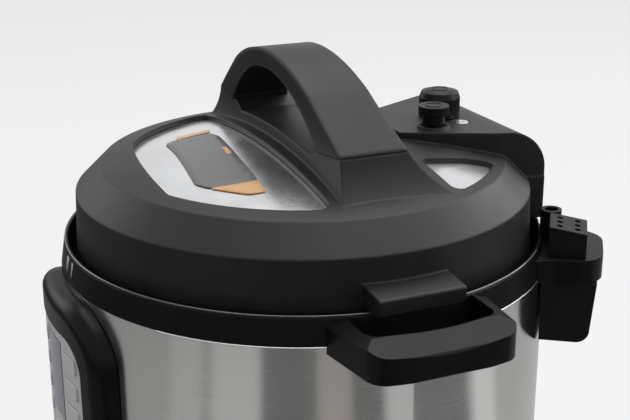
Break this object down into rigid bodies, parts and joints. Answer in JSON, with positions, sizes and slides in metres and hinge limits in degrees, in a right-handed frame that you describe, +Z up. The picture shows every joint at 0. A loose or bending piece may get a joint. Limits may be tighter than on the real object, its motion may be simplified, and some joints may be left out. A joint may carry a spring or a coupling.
{
  "type": "electric pressure cooker",
  "caption": "Round electric pressure cooker with a brushed steel body, twist-lock domed lid with an arched handle, side handles, steam valve, control panel and drip cup.",
  "frame": {"origin": "on the cooker's axis at table level, under the middle of its overall box", "axes": "+Z up, control panel towards -Y, right side handle towards +X"},
  "size_m": [0.3316, 0.2818, 0.3208],
  "materials": {
    "brushed_steel": "satin, brushed round the body",
    "base_plastic": "matt black moulded plastic",
    "screw_steel": "zinc plated",
    "rubber": "matt",
    "rim_plastic": "smooth black, soft sheen",
    "connector_plastic": "matt black",
    "cup_plastic": "smooth black",
    "panel_plastic": "smooth black, soft sheen",
    "facia_silver": "silver satin paint",
    "display_glass": "clear window over an unlit display",
    "circuit_board": "solder mask",
    "pin_brass": "bright",
    "pot_steel": "polished",
    "heater_aluminium": "cast and turned",
    "spring_steel": "bright wire",
    "silicone": "translucent white silicone",
    "lid_steel": "satin",
    "lid_plastic": "fine grained dark grey",
    "grip_plastic": "fine grained dark grey",
    "valve_plastic": "black with a soft sheen",
    "float_steel": "bright",
    "key_plastic": "silver satin"
  },
  "bodies": {
    "base": {"steel_shell": "brushed_steel", "bottom_cover": "base_plastic", "base_screws": "screw_steel", "rubber_feet": "rubber", "rim_collar": "rim_plastic", "handle_right": "rim_plastic", "handle_left": "rim_plastic", "connector_ledge": "rim_plastic", "lid_connector": "connector_plastic", "guide_tube": "connector_plastic", "panel_surround": "panel_plastic", "panel_facia": "facia_silver", "display_lens": "display_glass", "control_board": "circuit_board", "power_inlet": "base_plastic", "inlet_pins": "pin_brass", "outer_pot": "pot_steel", "heating_plate": "heater_aluminium", "sensor_spring": "spring_steel", "pressure_switch": "connector_plastic", "power_board": "circuit_board"},
    "inner_pot": {"inner_pot": "pot_steel"},
    "sealing_ring": {"sealing_ring": "silicone"},
    "lid": {"lid_steel": "lid_steel", "lid_window_plate": "lid_steel", "lid_rear_plate_right": "lid_steel", "lid_rear_plate_left": "lid_steel", "lid_cover": "lid_plastic", "ring_rack": "spring_steel", "handle_grip": "grip_plastic", "steam_pipe": "spring_steel", "anti_block_shield": "lid_steel", "lid_screws": "screw_steel", "release_spring": "spring_steel"},
    "steam_valve": {"steam_valve_cap": "valve_plastic"},
    "release_button": {"quick_release_button": "valve_plastic"},
    "release_rocker": {"release_rocker": "connector_plastic"},
    "float": {"float_valve": "float_steel", "float_seal": "silicone"},
    "sensor": {"sensor_button": "heater_aluminium"},
    "drip_cup": {"condensation_cup": "cup_plastic"},
    "key_left_1": {"key_left_1": "key_plastic"},
    "key_right_1": {"key_right_1": "key_plastic"},
    "key_left_2": {"key_left_2": "key_plastic"},
    "key_right_2": {"key_right_2": "key_plastic"},
    "key_left_3": {"key_left_3": "key_plastic"},
    "key_right_3": {"key_right_3": "key_plastic"},
    "key_left_4": {"key_left_4": "key_plastic"},
    "key_right_4": {"key_right_4": "key_plastic"},
    "key_left_5": {"key_left_5": "key_plastic"},
    "key_right_5": {"key_right_5": "key_plastic"},
    "key_low_left_1": {"key_low_left_1": "key_plastic"},
    "key_low_right_1": {"key_low_right_1": "key_plastic"},
    "key_low_left_2": {"key_low_left_2": "key_plastic"},
    "key_low_right_2": {"key_low_right_2": "key_plastic"},
    "key_centre": {"key_centre": "key_plastic"}
  },
  "joints": [
    {"name": "pot_lift", "type": "slide", "parent": "base", "child": "inner_pot", "axis": [0, 0, 1], "range_m": [0, 0.2]},
    {"name": "lid_lift", "type": "slide", "parent": "inner_pot", "child": "sealing_ring", "axis": [0, 0, 1], "range_m": [0, 0.2]},
    {"name": "lid_turn", "type": "hinge", "parent": "sealing_ring", "child": "lid", "pos_m": [0, 0, 0.225], "axis": [0, 0, 1], "range_deg": [0, 30]},
    {"name": "steam_valve_rise", "type": "slide", "parent": "lid", "child": "steam_valve", "axis": [0, 0, 1], "range_m": [0, 0.0021]},
    {"name": "release_press", "type": "slide", "parent": "lid", "child": "release_button", "axis": [0, 0, -1], "range_m": [0, 0.003], "stiffness_N_per_m": 400, "deforming": ["release_spring"]},
    {"name": "rocker_tilt", "type": "hinge", "parent": "lid", "child": "release_rocker", "pos_m": [0.0107, 0.0745, 0.2664], "axis": [0.5886, 0.8084, 0], "range_deg": [0, 14.8], "deforming": ["release_spring"]},
    {"name": "float_rise", "type": "slide", "parent": "lid", "child": "float", "axis": [0, 0, 1], "range_m": [0, 0.0035]},
    {"name": "sensor_press", "type": "slide", "parent": "base", "child": "sensor", "axis": [0, 0, -1], "range_m": [0, 0.002], "stiffness_N_per_m": 500, "deforming": ["sensor_spring"]},
    {"name": "cup_pull", "type": "slide", "parent": "base", "child": "drip_cup", "axis": [0.5736, 0.8192, 0], "range_m": [0, 0.05]},
    {"name": "key_left_1_press", "type": "slide", "parent": "base", "child": "key_left_1", "axis": [0, 1, 0], "range_m": [0, 0.0008], "stiffness_N_per_m": 600},
    {"name": "key_right_1_press", "type": "slide", "parent": "base", "child": "key_right_1", "axis": [0, 1, 0], "range_m": [0, 0.0008], "stiffness_N_per_m": 600},
    {"name": "key_left_2_press", "type": "slide", "parent": "base", "child": "key_left_2", "axis": [0, 1, 0], "range_m": [0, 0.0008], "stiffness_N_per_m": 600},
    {"name": "key_right_2_press", "type": "slide", "parent": "base", "child": "key_right_2", "axis": [0, 1, 0], "range_m": [0, 0.0008], "stiffness_N_per_m": 600},
    {"name": "key_left_3_press", "type": "slide", "parent": "base", "child": "key_left_3", "axis": [0, 1, 0], "range_m": [0, 0.0008], "stiffness_N_per_m": 600},
    {"name": "key_right_3_press", "type": "slide", "parent": "base", "child": "key_right_3", "axis": [0, 1, 0], "range_m": [0, 0.0008], "stiffness_N_per_m": 600},
    {"name": "key_left_4_press", "type": "slide", "parent": "base", "child": "key_left_4", "axis": [0, 1, 0], "range_m": [0, 0.0008], "stiffness_N_per_m": 600},
    {"name": "key_right_4_press", "type": "slide", "parent": "base", "child": "key_right_4", "axis": [0, 1, 0], "range_m": [0, 0.0008], "stiffness_N_per_m": 600},
    {"name": "key_left_5_press", "type": "slide", "parent": "base", "child": "key_left_5", "axis": [0, 1, 0], "range_m": [0, 0.0008], "stiffness_N_per_m": 600},
    {"name": "key_right_5_press", "type": "slide", "parent": "base", "child": "key_right_5", "axis": [0, 1, 0], "range_m": [0, 0.0008], "stiffness_N_per_m": 600},
    {"name": "key_low_left_1_press", "type": "slide", "parent": "base", "child": "key_low_left_1", "axis": [0, 1, 0], "range_m": [0, 0.0008], "stiffness_N_per_m": 600},
    {"name": "key_low_right_1_press", "type": "slide", "parent": "base", "child": "key_low_right_1", "axis": [0, 1, 0], "range_m": [0, 0.0008], "stiffness_N_per_m": 600},
    {"name": "key_low_left_2_press", "type": "slide", "parent": "base", "child": "key_low_left_2", "axis": [0, 1, 0], "range_m": [0, 0.0008], "stiffness_N_per_m": 600},
    {"name": "key_low_right_2_press", "type": "slide", "parent": "base", "child": "key_low_right_2", "axis": [0, 1, 0], "range_m": [0, 0.0008], "stiffness_N_per_m": 600},
    {"name": "key_centre_press", "type": "slide", "parent": "base", "child": "key_centre", "axis": [0, 1, 0], "range_m": [0, 0.0008], "stiffness_N_per_m": 600}
  ],
  "couplings": [
    {"joint": "rocker_tilt", "follows": "release_press", "rad_per_m": 85.17},
    {"joint": "steam_valve_rise", "follows": "release_press", "ratio": 0.6814}
  ]
}
